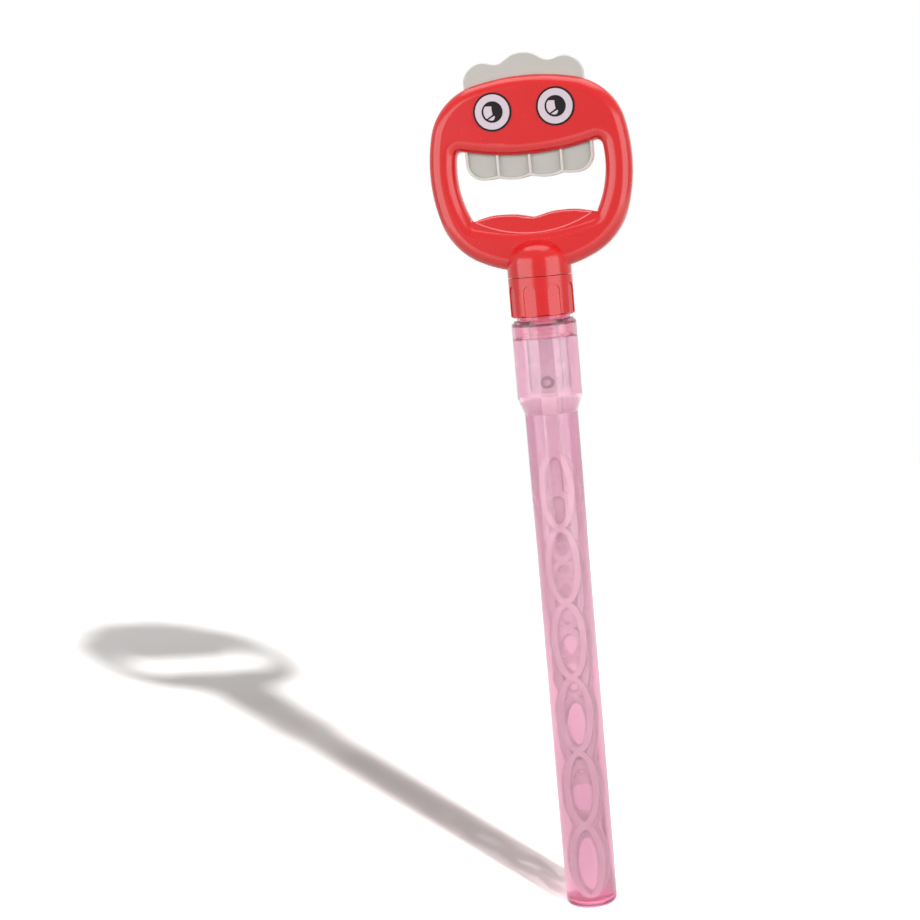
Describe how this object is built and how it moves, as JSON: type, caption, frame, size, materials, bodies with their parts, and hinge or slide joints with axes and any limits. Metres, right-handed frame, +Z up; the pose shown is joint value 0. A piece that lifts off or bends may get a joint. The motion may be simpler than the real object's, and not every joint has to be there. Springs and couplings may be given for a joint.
{
  "type": "bubble blower",
  "caption": "Bubble wand with a looped grip handle: a cap and a fan of flat looped arms on one pin draw out of a clear tube of bubble solution.",
  "frame": {"origin": "middle of the tube's flat base, on the surface that it stands on", "axes": "+Z up along the tube, +X to the right of someone who faces the eyes, front (the eyes) towards -Y"},
  "size_m": [0.1032, 0.033, 0.4387],
  "materials": {
    "tube_plastic": "clear pink, glossy",
    "handle_plastic": "glossy",
    "white_plastic": "satin",
    "foam": "soft foam",
    "black_plastic": "glossy",
    "eye_plastic": "glossy",
    "plug_plastic": "glossy",
    "clear_plastic": "clear, glossy",
    "pin_plastic": "satin",
    "arm_plastic": "translucent, satin"
  },
  "bodies": {
    "bottle": {"tube": "tube_plastic"},
    "wand": {"cap_liner": "foam", "handle_front_shell": "handle_plastic", "handle_rear_shell": "handle_plastic", "hair_and_teeth_plate": "white_plastic", "left_eye_rim": "black_plastic", "right_eye_rim": "black_plastic", "left_eye_disc": "eye_plastic", "right_eye_disc": "eye_plastic", "sleeve_plug": "plug_plastic", "sleeve_front": "clear_plastic", "sleeve_rear": "clear_plastic", "pivot_pin": "pin_plastic"},
    "cap": {"screw_cap": "handle_plastic"},
    "arm_1_body": {"arm_1": "arm_plastic"},
    "arm_2_body": {"arm_2": "arm_plastic"},
    "arm_3_body": {"arm_3": "arm_plastic"},
    "arm_4_body": {"arm_4": "arm_plastic"},
    "arm_5_body": {"arm_5": "arm_plastic"}
  },
  "joints": [
    {"name": "wand_draw", "type": "slide", "parent": "bottle", "child": "wand", "axis": [0, 0, 1], "range_m": [0, 0.32], "deforming": ["arm_1", "arm_2", "arm_3", "arm_4", "arm_5"]},
    {"name": "cap_turn", "type": "hinge", "parent": "wand", "child": "cap", "pos_m": [0, 0, 0.316], "axis": [0, 0, 1], "continuous": true},
    {"name": "arm_1_swing", "type": "hinge", "parent": "wand", "child": "arm_1_body", "pos_m": [0, 0, 0.2727], "axis": [0, 1, 0], "range_deg": [0, 30]},
    {"name": "arm_2_swing", "type": "hinge", "parent": "wand", "child": "arm_2_body", "pos_m": [0, 0, 0.2727], "axis": [0, 1, 0], "range_deg": [0, 12]},
    {"name": "arm_3_swing", "type": "hinge", "parent": "wand", "child": "arm_3_body", "pos_m": [0, 0, 0.2727], "axis": [0, 1, 0], "range_deg": [-1.3, 0]},
    {"name": "arm_4_swing", "type": "hinge", "parent": "wand", "child": "arm_4_body", "pos_m": [0, 0, 0.2727], "axis": [0, 1, 0], "range_deg": [-12, 0]},
    {"name": "arm_5_swing", "type": "hinge", "parent": "wand", "child": "arm_5_body", "pos_m": [0, 0, 0.2727], "axis": [0, 1, 0], "range_deg": [-30, 0]}
  ],
  "couplings": [
    {"joint": "arm_1_swing", "follows": "wand_draw", "rad_per_m": 1.6362},
    {"joint": "arm_2_swing", "follows": "wand_draw", "rad_per_m": 0.6545},
    {"joint": "arm_3_swing", "follows": "wand_draw", "rad_per_m": -0.070904},
    {"joint": "arm_4_swing", "follows": "wand_draw", "rad_per_m": -0.6545},
    {"joint": "arm_5_swing", "follows": "wand_draw", "rad_per_m": -1.6362}
  ]
}
